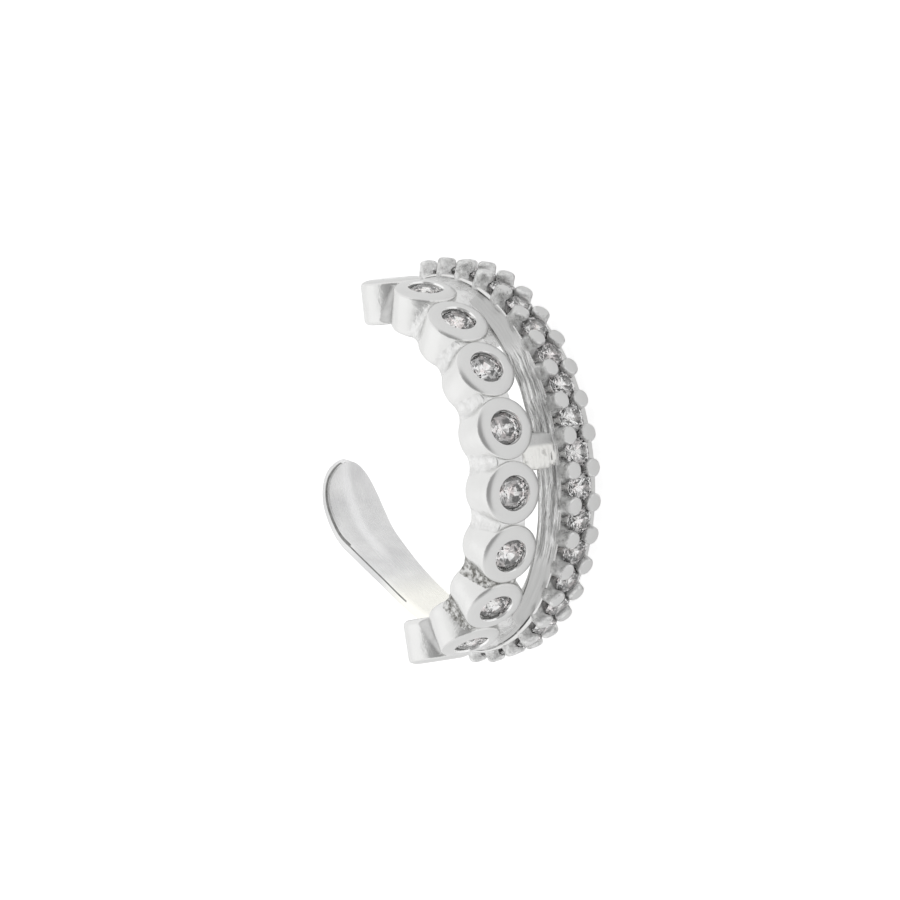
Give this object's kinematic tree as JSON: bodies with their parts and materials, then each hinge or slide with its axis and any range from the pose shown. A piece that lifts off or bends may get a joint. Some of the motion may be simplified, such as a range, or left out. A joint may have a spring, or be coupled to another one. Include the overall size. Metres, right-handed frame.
{
  "type": "ear cuff",
  "caption": "C-shaped white-metal ear cuff with a row of bezel-set stones beside a row of shared-prong stones, and a rounded tongue that grips behind the ear.",
  "frame": {"origin": "centre of the bounding box's base; the ring axis passes within 0.01 mm of it", "axes": "+Z along the ring axis, up from the flat side of the prong band that the cuff lies on; -Y out of the front of the C; +X towards the open upper end, so the tongue comes from the -X end"},
  "size_m": [0.013, 0.013, 0.0044],
  "materials": {
    "metal": "rhodium-white cast metal: polished walls, brushed faces, as-cast grooves",
    "bezel_stone": "polished colourless round brilliant",
    "prong_stone": "polished colourless round brilliant"
  },
  "bodies": {
    "root": {"cast_cuff": "metal", "bezel_stone_01": "bezel_stone", "bezel_stone_02": "bezel_stone", "bezel_stone_03": "bezel_stone", "bezel_stone_04": "bezel_stone", "bezel_stone_05": "bezel_stone", "bezel_stone_06": "bezel_stone", "bezel_stone_07": "bezel_stone", "bezel_stone_08": "bezel_stone", "bezel_stone_09": "bezel_stone", "bezel_stone_10": "bezel_stone", "prong_stone_01": "prong_stone", "prong_stone_02": "prong_stone", "prong_stone_03": "prong_stone", "prong_stone_04": "prong_stone", "prong_stone_05": "prong_stone", "prong_stone_06": "prong_stone", "prong_stone_07": "prong_stone", "prong_stone_08": "prong_stone", "prong_stone_09": "prong_stone", "prong_stone_10": "prong_stone", "prong_stone_11": "prong_stone", "prong_stone_12": "prong_stone", "prong_stone_13": "prong_stone", "prong_stone_14": "prong_stone", "prong_stone_15": "prong_stone", "prong_stone_16": "prong_stone", "prong_stone_17": "prong_stone", "prong_stone_18": "prong_stone", "prong_stone_19": "prong_stone"}
  },
  "joints": []
}
